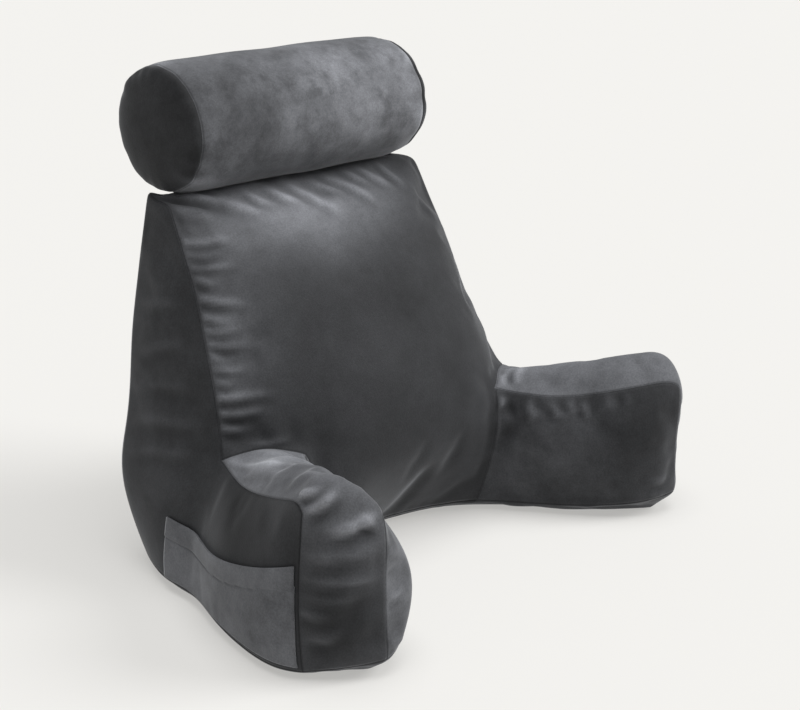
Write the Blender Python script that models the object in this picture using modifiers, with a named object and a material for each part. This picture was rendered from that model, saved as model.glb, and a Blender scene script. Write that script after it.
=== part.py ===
"""Reading pillow: a filled body with a backrest and two arms, a neck roll on top and a pocket on each arm.

Metres, +Z up. The floor is z = 0, the pillow faces -Y, and x = 0 is its middle. The tables give the right
half, and the left half is the same with x reversed.
"""

import math

import bmesh
import bpy
from mathutils import Matrix, Vector
from mathutils.bvhtree import BVHTree

# Driving dimensions
ROLL_RADIUS = 0.089
ROLL_HALF_LENGTH = 0.216
ROLL_END_BULGE = 0.026
TOUCHING_GAP = 0.0003

# The crown of the backrest's top, where the neck roll sits
SEAT_OF_ROLL = Vector((0.0, 0.038, 0.5245))
ROLL_SHIFT = Vector((-0.004, 0.0, 0.0))

# Backrest sections from the arms' height to the top. The front seam is the panel's edge at half_width.
BACK_COLUMNS = ("z", "half_width", "seam_y", "centre_y", "rear_y", "side_crown")
BACK_ROWS = (
    (0.198, 0.289, -0.148, -0.232, 0.062, 0.010),
    (0.265, 0.273, -0.122, -0.212, 0.068, 0.010),
    (0.330, 0.264, -0.095, -0.178, 0.070, 0.010),
    (0.400, 0.254, -0.063, -0.133, 0.066, 0.009),
    (0.460, 0.247, -0.028, -0.078, 0.059, 0.006),
    (0.512, 0.242, 0.000, -0.016, 0.044, 0.004),
)
# How far across the half width each column of the front and rear panels lies
PANEL_FRACTIONS = {"0": 0.0, "1": 0.34, "2": 0.674, "3": 0.84}
FRONT_CROWN_POWER = 3.5
WAIST_LEVELS = 3.5
REAR_CROWN = 0.012
# The top corners stand up beside the neck roll
EAR_RISE = Vector((0.001, 0.0, 0.012))
EAR_MID_RISE = 0.006

# Arm stations from the backrest to the tip, as the two top seams and the crown between them. The mid and
# foot columns are how far each side stands out past its top seam at half height and at the foot seam, and
# the under column is how far the base's edge lies in under the inner foot seam.
ARM_COLUMNS = (
    "inner_x", "inner_y", "outer_x", "outer_y", "inner_z", "outer_z", "crown_z",
    "inner_mid", "outer_mid", "inner_foot", "outer_foot", "inner_foot_z", "outer_foot_z", "under",
)
ARM_ROWS = (
    (0.1955, -0.213, 0.289, -0.148, 0.198, 0.198, 0.210, 0.0, 0.036, 0.0, 0.050, 0.018, 0.015, 0.022),
    (0.2280, -0.285, 0.317, -0.220, 0.194, 0.191, 0.228, 0.026, 0.038, 0.006, 0.047, 0.016, 0.013, 0.034),
    (0.2600, -0.355, 0.344, -0.296, 0.206, 0.206, 0.246, 0.044, 0.035, 0.022, 0.041, 0.018, 0.011, 0.044),
    (0.2890, -0.420, 0.365, -0.362, 0.222, 0.226, 0.257, 0.060, 0.028, 0.042, 0.027, 0.024, 0.010, 0.050),
    (0.3060, -0.468, 0.375, -0.400, 0.218, 0.222, 0.242, 0.002, 0.008, 0.004, 0.003, 0.026, 0.012, 0.024),
)
INNER_FACING = Vector((-0.911, -0.412, 0.0))
OUTER_FACING = Vector((0.968, 0.251, 0.0))
TIP_TOP_OUT = 0.012
TIP_MID_OUT = 0.022
TIP_FOOT_OUT = 0.006

# The two sides lie a little unevenly. An arm's tip swings out about the arm's root, and the arm's reach, the
# height of its tip, the height of the foot seam there, its inner bulge, the backrest's half width at mid
# height and the rise of its top corner are shares of the tables' values.
SIDE_COLUMNS = ("tip_swing", "reach", "tip_height", "tip_lift", "bulge", "waist", "ear")
SIDES = {
    "left": (math.radians(0.0), 1.0, 1.0, 1.0, 1.0, 1.0, 1.2),
    "right": (math.radians(19.0), 0.94, 0.92, 1.2, 0.5, 0.953, -0.3),
}
ARM_ROOT = Vector((0.242, -0.180, 0.0))
SIGNS = {"right": 1, "left": -1}

# The rings below the arms' top seams: half height, foot seam and base
MID_HEIGHT = 0.118
BASE_INSET = 0.022
# How far the base's edge lies behind the foot seam at an arm's tip, and at the station before it
TIP_BASE_INSETS = (0.034, 0.016)
FOOT_COLUMNS = ("z", "front_y", "joint_x", "joint_y", "side_x", "side_y", "corner_x", "corner_y", "rear_y")
FOOT_ROWS = (
    (MID_HEIGHT, -0.212, 0.182, -0.226, 0.318, -0.048, 0.301, 0.060, 0.071),
    (0.016, -0.142, 0.174, -0.198, 0.329, -0.060, 0.296, 0.018, 0.046),
    (0.000, -0.118, 0.174, -0.170, 0.303, -0.060, 0.272, -0.004, 0.024),
)

SEAM_CREASE = 0.25
BASE_CREASE = 1.0
SUBDIVISIONS = 2
FITTING_ROUNDS = 5

# The pocket is a patch on the arm's outer side. Its ends are measured level along that side, and its top
# edge hangs below the straight line between its two top corners.
POCKET_REAR = 0.150
POCKET_FRONT = 0.478
POCKET_FOOT_Z = 0.018
POCKET_REAR_TOP_Z = 0.105
POCKET_FRONT_TOP_Z = 0.155
POCKET_SAG = 0.021
POCKET_THICKNESS = 0.002
POCKET_OFFSET = 0.0019
POCKET_MOUTH_OFFSET = 0.0030
POCKET_COLUMNS = 24
POCKET_ROWS = 7
POCKET_RAY_START = 0.7
POCKET_ALONG = Vector((OUTER_FACING.y, -OUTER_FACING.x, 0.0))

# The neck roll's profile from an end seam towards the middle
ROLL_COLUMNS = ("inward", "radius_change")
ROLL_EDGE = ((0.0, -0.003), (0.012, -0.0005), (0.050, 0.0), (0.130, 0.001))
ROLL_SEGMENTS = 40
ROLL_END_RINGS = 5
ROLL_END_FULLNESS = 0.8

VELVET_GREY = (0.055, 0.057, 0.062, 1.0)
VELVET_ROUGHNESS = 0.9

# Names of the cage's points along each line of the right half
INNER_LINE = ("f2", "i1", "i2", "i3", "tip_in")
CROWN_LINE = ("f3", "m1", "m2", "m3", "tip_mid")
OUTER_LINE = ("side_seam", "o1", "o2", "o3", "tip_out")
FRONT_LINE = ("f0", "f1", "f2", "f3", "side_seam")
MIDDLE_LINE = ("c0", "c1", "c2", "c3", "side_mid")
REAR_LINE = ("b0", "b1", "b2", "b3", "corner")
AROUND_BACK = FRONT_LINE + ("side_mid",) + REAR_LINE[::-1]
AROUND_FOOT = ("f0", "f1") + INNER_LINE + ("tip_mid",) + OUTER_LINE[::-1] + ("side_mid",) + REAR_LINE[::-1]
ON_THE_MIDDLE = ("f0", "c0", "b0")
TOP = len(BACK_ROWS) - 1
BASE = -len(FOOT_ROWS)


def rows_of(columns, rows):
    return [dict(zip(columns, row)) for row in rows]


def level_direction_out(start, end):
    """The level direction square to the line from start to end, on its right."""
    along = Vector((end.x - start.x, end.y - start.y, 0.0)).normalized()
    return Vector((along.y, -along.x, 0.0))


def splayed(point, side, share):
    """The point moved with the arm on one side. The share is 0 at the arm's root and 1 at its tip."""
    row = dict(zip(SIDE_COLUMNS, SIDES[side]))
    reach = Matrix.Diagonal((1 + (row["reach"] - 1) * share, 1 + (row["reach"] - 1) * share, 1.0))
    return ARM_ROOT + Matrix.Rotation(row["tip_swing"] * share, 3, "Z") @ reach @ (point - ARM_ROOT)


def add_backrest_points(points, side):
    """One ring of points for each backrest section, from the arms' height up."""
    shares = dict(zip(SIDE_COLUMNS, SIDES[side]))
    for level, row in enumerate(rows_of(BACK_COLUMNS, BACK_ROWS)):
        row["half_width"] *= 1 + (shares["waist"] - 1) * math.sin(math.pi * min(level / WAIST_LEVELS, 1.0))
        crown = row["centre_y"] - row["seam_y"]
        for column, fraction in PANEL_FRACTIONS.items():
            x = fraction * row["half_width"]
            front_y = row["seam_y"] + crown * (1 - fraction**FRONT_CROWN_POWER)
            rear_y = row["rear_y"] + REAR_CROWN * (1 - fraction**2)
            points[level, "f" + column] = Vector((x, front_y, row["z"]))
            points[level, "b" + column] = Vector((x, rear_y, row["z"]))
        side_x = row["half_width"] + row["side_crown"]
        side_y = (row["seam_y"] + row["rear_y"]) / 2
        points[level, "side_seam"] = Vector((row["half_width"], row["seam_y"], row["z"]))
        points[level, "side_mid"] = Vector((side_x, side_y, row["z"]))
        points[level, "corner"] = Vector((row["half_width"], row["rear_y"], row["z"]))
    points[TOP, "corner"] += shares["ear"] * EAR_RISE
    points[TOP, "side_mid"].z += shares["ear"] * EAR_MID_RISE
    for column, fraction in PANEL_FRACTIONS.items():
        across = Vector((fraction * points[TOP, "side_seam"].x, 0.0, 0.0))
        points[TOP, "c" + column] = SEAT_OF_ROLL + across


def add_backrest_foot(points):
    """The backrest's walls below the arms' top seams, down to the flat base."""
    for number, foot in enumerate(rows_of(FOOT_COLUMNS, FOOT_ROWS)):
        level = -1 - number
        for name, share in (("f0", 0.0), ("f1", 0.5), ("f2", 1.0)):
            y = foot["front_y"] + (foot["joint_y"] - foot["front_y"]) * share**2
            points[level, name] = Vector((share * foot["joint_x"], y, foot["z"]))
        points[level, "side_mid"] = Vector((foot["side_x"], foot["side_y"], foot["z"]))
        points[level, "corner"] = Vector((foot["corner_x"], foot["corner_y"], foot["z"]))
        for column, fraction in PANEL_FRACTIONS.items():
            y = foot["rear_y"] + (foot["corner_y"] - foot["rear_y"]) * fraction**2
            points[level, "b" + column] = Vector((fraction * foot["corner_x"], y, foot["z"]))


def add_arm_points(points, side):
    """The arm, from the line where it leaves the front panel to its tip, and down to the flat base."""
    shares = dict(zip(SIDE_COLUMNS, SIDES[side]))
    for station, row in enumerate(rows_of(ARM_COLUMNS, ARM_ROWS)):
        share = station / (len(ARM_ROWS) - 1)
        scale = 1 + (shares["tip_height"] - 1) * share
        lift = 1 + (shares["tip_lift"] - 1) * share
        inner = Vector((row["inner_x"], row["inner_y"], row["inner_z"] * scale))
        outer = Vector((row["outer_x"], row["outer_y"], row["outer_z"] * scale))
        middle = (inner + outer) / 2
        middle.z = row["crown_z"] * scale
        made = {(0, INNER_LINE): inner, (0, CROWN_LINE): middle, (0, OUTER_LINE): outer}
        rings = (
            (-1, "mid", 0.0, 0.0, MID_HEIGHT, MID_HEIGHT),
            (-2, "foot", 0.0, 0.0, row["inner_foot_z"] * lift, row["outer_foot_z"] * lift),
            (-3, "foot", row["under"], BASE_INSET, 0.0, 0.0),
        )
        for level, name, under, inset, inner_z, outer_z in rings:
            bulge = shares["bulge"] * row["inner_" + name]
            made[level, INNER_LINE] = inner + (bulge - under) * INNER_FACING
            made[level, OUTER_LINE] = outer + (row["outer_" + name] - inset) * OUTER_FACING
            made[level, INNER_LINE].z = inner_z
            made[level, OUTER_LINE].z = outer_z
        for (level, line), point in made.items():
            if station > 0 or line is not INNER_LINE or level == 0:
                points[level, line[station]] = splayed(point, side, share)
    outward = level_direction_out(points[0, "tip_in"], points[0, "tip_out"])
    for level, out in ((0, TIP_TOP_OUT), (-1, TIP_MID_OUT), (-2, TIP_FOOT_OUT), (-3, 0.0)):
        middle = (points[level, "tip_in"] + points[level, "tip_out"]) / 2
        middle.z = points[0, "tip_mid"].z if level == 0 else middle.z
        points[level, "tip_mid"] = middle + out * outward
    for names, inset in zip((("tip_in", "tip_mid", "tip_out"), ("i3", "o3")), TIP_BASE_INSETS):
        for name in names:
            points[BASE, name] -= inset * outward


def add_base_points(points):
    """The middle lines of the base, which is flat on the floor."""
    for inner, middle, outer in zip(INNER_LINE[:-1], CROWN_LINE, OUTER_LINE):
        points[BASE, middle] = (points[BASE, inner] + points[BASE, outer]) / 2
    for front, middle, rear in zip(FRONT_LINE[:-1], MIDDLE_LINE, REAR_LINE):
        points[BASE, middle] = (points[BASE, front] + points[BASE, rear]) / 2


def half_points(side):
    """The cage's points on one side, by level and name."""
    points = {}
    add_backrest_points(points, side)
    add_backrest_foot(points)
    add_arm_points(points, side)
    add_base_points(points)
    return points


def at(level, names):
    return [(level, name) for name in names]


def strip(first, second):
    """Quads between two rows of keys."""
    return list(zip(first, first[1:], second[1:], second))


def half_quads():
    quads = []
    for level in range(TOP):
        quads += strip(at(level, AROUND_BACK), at(level + 1, AROUND_BACK))
    for level in range(BASE, 0):
        quads += strip(at(level, AROUND_FOOT), at(level + 1, AROUND_FOOT))
    for first, second in ((FRONT_LINE, MIDDLE_LINE), (MIDDLE_LINE, REAR_LINE)):
        quads += strip(at(TOP, first), at(TOP, second))
        quads += strip(at(BASE, second), at(BASE, first))
    for first, second in ((INNER_LINE, CROWN_LINE), (CROWN_LINE, OUTER_LINE)):
        quads += strip(at(0, first), at(0, second))
        quads += strip(at(BASE, second), at(BASE, first))
    return quads


def half_seams():
    """The sewn edges of the cover, each as a line of keys."""
    up = range(TOP + 1)
    down = range(0, BASE, -1)
    return [
        [(level, "side_seam") for level in up],
        [(level, "corner") for level in range(TOP, BASE, -1)],
        at(TOP, ("side_seam", "side_mid", "corner")),
        at(TOP, REAR_LINE),
        [(level, "f2") for level in down],
        at(0, ("f2", "f3", "side_seam")),
        at(0, INNER_LINE) + [(level, "tip_in") for level in down[1:]],
        at(0, OUTER_LINE) + [(level, "tip_out") for level in down[1:]],
        at(BASE + 1, AROUND_FOOT),
    ]


def sided(key, side):
    """The key of a point on one side. Points on the middle plane are shared."""
    return ("middle" if key[1] in ON_THE_MIDDLE else side,) + key


def body_cage():
    """The cage's points, quads and creased lines for both sides."""
    points = {}
    quads = []
    creases = []
    for side, sign in SIGNS.items():
        for key, point in half_points(side).items():
            points[sided(key, side)] = Vector((sign * point.x, point.y, point.z))
        for quad in half_quads():
            quads.append([sided(key, side) for key in quad[::sign]])
        for line in half_seams():
            creases.append(([sided(key, side) for key in line], SEAM_CREASE))
        creases.append(([sided(key, side) for key in at(BASE, AROUND_FOOT)], BASE_CREASE))
    return points, quads, creases


def creased_mesh(name, points, quads, creases):
    order = {key: number for number, key in enumerate(points)}
    mesh = bpy.data.meshes.new(name)
    mesh.from_pydata(list(points.values()), [], [[order[key] for key in quad] for quad in quads])
    sharpness = mesh.attributes.new("crease_edge", "FLOAT", "EDGE")
    numbers = {frozenset(edge.vertices): edge.index for edge in mesh.edges}
    for line, amount in creases:
        for start, end in zip(line, line[1:]):
            sharpness.data[numbers[frozenset((order[start], order[end]))]].value = amount
    return mesh


def fit_to_points(obj):
    """Moves the cage, never below the floor, until the smooth surface runs through the tables' points."""
    targets = [vertex.co.copy() for vertex in obj.data.vertices]
    for _ in range(FITTING_ROUNDS):
        bpy.context.view_layer.update()
        smooth = obj.evaluated_get(bpy.context.evaluated_depsgraph_get()).data
        reached = [smooth.vertices[number].co.copy() for number in range(len(targets))]
        for vertex, target, now in zip(obj.data.vertices, targets, reached):
            step = target - now
            if target.z == 0.0:
                step.z = 0.0
            vertex.co += step
            vertex.co.z = max(vertex.co.z, 0.0)
        obj.data.update()


def velvet(name):
    material = bpy.data.materials.new(name)
    material.use_nodes = True
    shader = material.node_tree.nodes["Principled BSDF"]
    shader.inputs["Base Color"].default_value = VELVET_GREY
    shader.inputs["Roughness"].default_value = VELVET_ROUGHNESS
    shader.inputs["Metallic"].default_value = 0.0
    return material


def new_part(name, mesh, collection):
    mesh.shade_smooth()
    mesh.materials.append(velvet(name + "_velvet"))
    obj = bpy.data.objects.new(name, mesh)
    collection.objects.link(obj)
    return obj


def build_body(collection):
    obj = new_part("pillow_body", creased_mesh("pillow_body", *body_cage()), collection)
    smooth = obj.modifiers.new("soft_form", "SUBSURF")
    smooth.levels = SUBDIVISIONS
    smooth.render_levels = SUBDIVISIONS
    fit_to_points(obj)
    return obj


def roll_profile():
    """Points (x, radius) from the middle of one end to the middle of the other."""
    seam_radius = ROLL_RADIUS + ROLL_EDGE[0][1]
    half = []
    for ring in range(ROLL_END_RINGS):
        angle = math.radians(90) * ring / ROLL_END_RINGS
        bulge = ROLL_END_BULGE * math.cos(angle) ** ROLL_END_FULLNESS
        half.append((ROLL_HALF_LENGTH + bulge, seam_radius * math.sin(angle)))
    for row in rows_of(ROLL_COLUMNS, ROLL_EDGE):
        half.append((ROLL_HALF_LENGTH - row["inward"], ROLL_RADIUS + row["radius_change"]))
    return half + [(-x, radius) for x, radius in reversed(half)]


def build_roll(collection):
    mesh = bpy.data.meshes.new("neck_roll")
    profile = bmesh.new()
    corners = [profile.verts.new((radius, 0.0, x)) for x, radius in roll_profile()]
    for start, end in zip(corners, corners[1:]):
        profile.edges.new((start, end))
    profile.to_mesh(mesh)
    profile.free()
    obj = new_part("neck_roll", mesh, collection)
    turned = obj.modifiers.new("turned", "SCREW")
    turned.steps = ROLL_SEGMENTS
    turned.render_steps = ROLL_SEGMENTS
    turned.use_merge_vertices = True
    turned.merge_threshold = 0.0001
    obj.rotation_euler = (0.0, math.radians(90), 0.0)
    fullest = ROLL_RADIUS + max(change for _, change in ROLL_EDGE)
    obj.location = SEAT_OF_ROLL + ROLL_SHIFT + Vector((0.0, 0.0, fullest + TOUCHING_GAP))
    return obj


def outer_place(along, outward, up, side, sign):
    """A place beside the arm, from its level distance along the arm's outer side and out from it."""
    point = along * POCKET_ALONG + outward * OUTER_FACING + Vector((0.0, 0.0, up))
    root, tip = (POCKET_ALONG.dot(points_of_row(row)) for row in (ARM_ROWS[0], ARM_ROWS[-1]))
    share = min(max((along - root) / (tip - root), 0.0), 1.0)
    moved = splayed(point, side, share)
    return Vector((sign * moved.x, moved.y, moved.z))


def points_of_row(row):
    """The outer top seam's point at one arm station."""
    named = dict(zip(ARM_COLUMNS, row))
    return Vector((named["outer_x"], named["outer_y"], 0.0))


def pocket_place(across, upward, side, sign, body_surface):
    """The place on the pocket's inner face, at shares of its width and height."""
    top = POCKET_REAR_TOP_Z + (POCKET_FRONT_TOP_Z - POCKET_REAR_TOP_Z) * across
    top -= POCKET_SAG * math.sin(math.pi * across)
    up = POCKET_FOOT_Z + (top - POCKET_FOOT_Z) * upward
    along = POCKET_REAR + (POCKET_FRONT - POCKET_REAR) * across
    start = outer_place(along, POCKET_RAY_START, up, side, sign)
    inward = (outer_place(along, 0.0, up, side, sign) - start).normalized()
    reached = body_surface.ray_cast(start, inward)[0]
    return reached - inward * (POCKET_OFFSET + (POCKET_MOUTH_OFFSET - POCKET_OFFSET) * upward)


def build_pocket(collection, body, side, sign):
    body_surface = BVHTree.FromObject(body, bpy.context.evaluated_depsgraph_get())
    name = "pocket_" + side
    mesh = bpy.data.meshes.new(name)
    patch = bmesh.new()
    bmesh.ops.create_grid(patch, x_segments=POCKET_COLUMNS, y_segments=POCKET_ROWS, size=0.5)
    for corner in patch.verts:
        corner.co = pocket_place(corner.co.x + 0.5, corner.co.y + 0.5, side, sign, body_surface)
    if sign > 0:
        bmesh.ops.reverse_faces(patch, faces=patch.faces)
    patch.to_mesh(mesh)
    patch.free()
    obj = new_part(name, mesh, collection)
    thick = obj.modifiers.new("cloth", "SOLIDIFY")
    thick.thickness = POCKET_THICKNESS
    thick.offset = 1.0
    return obj


def main():
    for obj in list(bpy.data.objects):
        bpy.data.objects.remove(obj, do_unlink=True)
    parts = bpy.data.collections.new("reading_pillow")
    bpy.context.scene.collection.children.link(parts)
    body = build_body(parts)
    build_roll(parts)
    for side, sign in SIGNS.items():
        build_pocket(parts, body, side, sign)


main()
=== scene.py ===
"""Reading pillow: the looks of the filled body, the neck roll and the two side pockets.

Metres, +Z up. The floor is z = 0, the pillow faces -Y, and x = 0 is its middle. The cover's cage is the
one that the CAD solid is made from. It is divided further here, puckered along its seams and creased.
"""

import math

import bmesh
import bpy
import numpy as np
from mathutils import Matrix, Vector, noise
from mathutils.bvhtree import BVHTree
from mathutils.kdtree import KDTree


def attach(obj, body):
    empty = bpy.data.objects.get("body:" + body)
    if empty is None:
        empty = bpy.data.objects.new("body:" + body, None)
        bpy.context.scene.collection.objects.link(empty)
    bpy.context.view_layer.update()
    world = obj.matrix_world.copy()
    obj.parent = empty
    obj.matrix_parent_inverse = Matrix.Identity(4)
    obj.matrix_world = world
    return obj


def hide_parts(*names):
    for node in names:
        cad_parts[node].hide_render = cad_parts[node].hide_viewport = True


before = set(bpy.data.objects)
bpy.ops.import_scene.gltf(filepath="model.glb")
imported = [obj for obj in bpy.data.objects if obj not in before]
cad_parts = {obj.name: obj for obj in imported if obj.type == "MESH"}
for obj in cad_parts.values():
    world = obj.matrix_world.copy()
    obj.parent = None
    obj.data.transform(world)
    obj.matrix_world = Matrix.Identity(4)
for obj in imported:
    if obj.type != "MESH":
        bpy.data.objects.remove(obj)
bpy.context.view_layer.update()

# The camera looks from the front left, from a little above the neck roll
CAMERA_AZIMUTH = math.radians(-46.166)
CAMERA_ELEVATION = math.radians(17.561)
CAMERA_DISTANCE = 2.397
CAMERA_TARGET = Vector((0.0623, -0.1417, 0.2644))
CAMERA_LENS = 73.09
SENSOR_WIDTH = 36.0
# The photograph's frame, in pixels
PHOTO_WIDTH = 800
PHOTO_HEIGHT = 710

# The crown of the backrest's top, where the neck roll sits
SEAT_OF_ROLL = Vector((0.0, 0.038, 0.5245))

# Backrest sections from the arms' height to the top. The front seam is the panel's edge at half_width.
BACK_COLUMNS = ("z", "half_width", "seam_y", "centre_y", "rear_y", "side_crown")
BACK_ROWS = (
    (0.198, 0.289, -0.148, -0.232, 0.062, 0.010),
    (0.265, 0.273, -0.122, -0.212, 0.068, 0.010),
    (0.330, 0.264, -0.095, -0.178, 0.070, 0.010),
    (0.400, 0.254, -0.063, -0.133, 0.066, 0.009),
    (0.460, 0.247, -0.028, -0.078, 0.059, 0.006),
    (0.512, 0.242, 0.000, -0.016, 0.044, 0.004),
)
# How far across the half width each column of the front and rear panels lies
PANEL_FRACTIONS = {"0": 0.0, "1": 0.34, "2": 0.674, "3": 0.84}
FRONT_CROWN_POWER = 3.5
WAIST_LEVELS = 3.5
REAR_CROWN = 0.012
# The top corners stand up beside the neck roll
EAR_RISE = Vector((0.001, 0.0, 0.012))
EAR_MID_RISE = 0.006

# Arm stations from the backrest to the tip, as the two top seams and the crown between them. The mid and
# foot columns are how far each side stands out past its top seam at half height and at the foot seam, and
# the under column is how far the base's edge lies in under the inner foot seam.
ARM_COLUMNS = (
    "inner_x", "inner_y", "outer_x", "outer_y", "inner_z", "outer_z", "crown_z",
    "inner_mid", "outer_mid", "inner_foot", "outer_foot", "inner_foot_z", "outer_foot_z", "under",
)
ARM_ROWS = (
    (0.1955, -0.213, 0.289, -0.148, 0.198, 0.198, 0.210, 0.0, 0.036, 0.0, 0.050, 0.018, 0.015, 0.022),
    (0.2280, -0.285, 0.317, -0.220, 0.194, 0.191, 0.228, 0.026, 0.038, 0.006, 0.047, 0.016, 0.013, 0.034),
    (0.2600, -0.355, 0.344, -0.296, 0.206, 0.206, 0.246, 0.044, 0.035, 0.022, 0.041, 0.018, 0.011, 0.044),
    (0.2890, -0.420, 0.365, -0.362, 0.222, 0.226, 0.257, 0.060, 0.028, 0.042, 0.027, 0.024, 0.010, 0.050),
    (0.3060, -0.468, 0.375, -0.400, 0.218, 0.222, 0.242, 0.002, 0.008, 0.004, 0.003, 0.026, 0.012, 0.024),
)
INNER_FACING = Vector((-0.911, -0.412, 0.0))
OUTER_FACING = Vector((0.968, 0.251, 0.0))
TIP_TOP_OUT = 0.012
TIP_MID_OUT = 0.022
TIP_FOOT_OUT = 0.006

# The two sides lie a little unevenly. An arm's tip swings out about the arm's root, and the arm's reach, the
# height of its tip, the height of the foot seam there, its inner bulge, the backrest's half width at mid
# height and the rise of its top corner are shares of the tables' values.
SIDE_COLUMNS = ("tip_swing", "reach", "tip_height", "tip_lift", "bulge", "waist", "ear")
SIDES = {
    "left": (math.radians(0.0), 1.0, 1.0, 1.0, 1.0, 1.0, 1.2),
    "right": (math.radians(19.0), 0.94, 0.92, 1.2, 0.5, 0.953, -0.3),
}
ARM_ROOT = Vector((0.242, -0.180, 0.0))
SIGNS = {"right": 1, "left": -1}

# The rings below the arms' top seams: half height, foot seam and base
MID_HEIGHT = 0.118
BASE_INSET = 0.022
# How far the base's edge lies behind the foot seam at an arm's tip, and at the station before it
TIP_BASE_INSETS = (0.034, 0.016)
FOOT_COLUMNS = ("z", "front_y", "joint_x", "joint_y", "side_x", "side_y", "corner_x", "corner_y", "rear_y")
FOOT_ROWS = (
    (MID_HEIGHT, -0.212, 0.182, -0.226, 0.318, -0.048, 0.301, 0.060, 0.071),
    (0.016, -0.142, 0.174, -0.198, 0.329, -0.060, 0.296, 0.018, 0.046),
    (0.000, -0.118, 0.174, -0.170, 0.303, -0.060, 0.272, -0.004, 0.024),
)

SEAM_CREASE = 0.42
BASE_CREASE = 1.0
FITTING_ROUNDS = 5

# Names of the cage's points along each line of the right half
INNER_LINE = ("f2", "i1", "i2", "i3", "tip_in")
CROWN_LINE = ("f3", "m1", "m2", "m3", "tip_mid")
OUTER_LINE = ("side_seam", "o1", "o2", "o3", "tip_out")
FRONT_LINE = ("f0", "f1", "f2", "f3", "side_seam")
MIDDLE_LINE = ("c0", "c1", "c2", "c3", "side_mid")
REAR_LINE = ("b0", "b1", "b2", "b3", "corner")
AROUND_BACK = FRONT_LINE + ("side_mid",) + REAR_LINE[::-1]
AROUND_FOOT = ("f0", "f1") + INNER_LINE + ("tip_mid",) + OUTER_LINE[::-1] + ("side_mid",) + REAR_LINE[::-1]
ON_THE_MIDDLE = ("f0", "c0", "b0")
TOP = len(BACK_ROWS) - 1
BASE = -len(FOOT_ROWS)

# How often the cage is divided: where it is fitted, where the cloth is simulated, and in the end
FITTED_DIVISIONS = 2
SIMULATED_DIVISIONS = 3
BODY_DIVISIONS = 4
# What lies lower than this rests on the floor
ON_FLOOR = 0.001
# How far each seed moves the noise along x, y and z
SEED_STEPS = (3.7, 1.3, 2.1)
# Keeps a length that is divided by from being zero
SMALLEST_REACH = 1e-6

# Cloth simulation of the cover. The excess is how much larger the cloth is cut than the form, as a
# negative share, and the seam shrink is how much shorter it is sewn along its seams.
CLOTH_QUALITY = 5
CLOTH_MASS = 0.3
CLOTH_TENSION = 20.0
CLOTH_SHEAR = 8.0
CLOTH_BENDING = 0.5
CLOTH_PRESSURE = 2.0
CLOTH_EXCESS = -0.01
SEAM_SHRINK = 0.04
CLOTH_FRAMES = 18
PUCKER_SMOOTHING = 40
PUCKER_CAP = 0.0036
# The side panels are pulled flat, so they pucker less
SIDE_PUCKER_SHARE = 0.35

# Seams: the flat strip beside them that puckers leave alone, and the groove that the stitches pull in
SEAM_STRIP = 0.014
SEAM_GROOVE_WIDTH = 0.0017
SEAM_GROOVE_DEPTH = 0.0011
# How near the stitches a point is pulled in
STITCH_REACH = 0.4 * SEAM_GROOVE_WIDTH

PANELS = ("front", "side", "rear", "inner", "strip", "base")

# Velvet: clouds of noise for the brushed patches, the crushed mottling, its flecks and the pile. Each has its
# size in metres, the part of the noise's range that counts, and how much darker and lighter it can make the
# velvet, as shares.
NAP_COLUMNS = ("size", "detail", "distortion", "low", "high", "darkest", "lightest")
NAP = {
    "patches": (0.16, 3.0, 0.3, 0.35, 0.65, 0.88, 1.12),
    "mottling": (0.075, 7.0, 0.25, 0.38, 0.62, 0.66, 1.3),
    "flecks": (0.022, 5.0, 0.0, 0.36, 0.56, 0.80, 1.10),
    "pile": (0.0024, 2.0, 0.0, 0.3, 0.7, 0.84, 1.16),
}
NOISE_ROUGHNESS = 0.62
SEAM_TONES = (0.68, 1.0)
# How much lighter the crest of a pucker is painted, as a painted highlight that is partly the pile parting
# there, by which power that sets in, how much darker a hollow is painted, as painted shade, and how high such
# a crest is
CREST_GLEAM = 1.6
CREST_GLEAM_POWER = 1.5
HOLLOW_SHADE = 0.5
CREST_HEIGHT = 0.0038
# How much the simulated puckers count as crests, beside the listed folds
PUCKER_CREST_SHARE = 0.2
VELVET_GREY = (0.050, 0.0515, 0.056)
SHEEN = 0.40
SHEEN_ROUGHNESS = 0.35
SHEEN_TINT = (0.80, 0.82, 0.86, 1)
VELVET_ROUGHNESS = 0.8
VELVET_SPECULAR = 0.25
RELIEF_STRENGTH = 0.35
RELIEF_DEPTH = 0.0006

# The pile lies another way on each panel, so some are darker, and some are more crushed. Each panel's tone is
# partly that and partly painted light and shade.
PILE_AND_PAINTED_LIGHT_COLUMNS = ("panel", "tone", "crushed")
PILE_AND_PAINTED_LIGHT = (
    ("front", 0.50, 0.35),
    ("side", 0.70, 0.5),
    ("rear", 1.00, 0.5),
    ("inner", 0.90, 0.55),
    ("strip", 1.50, 0.4),
    ("base", 0.7, 0.0),
    ("roll", 2.5, 0.85),
    ("roll_end", 0.45, 0.6),
    ("pocket", 2.4, 0.5),
)
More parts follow.
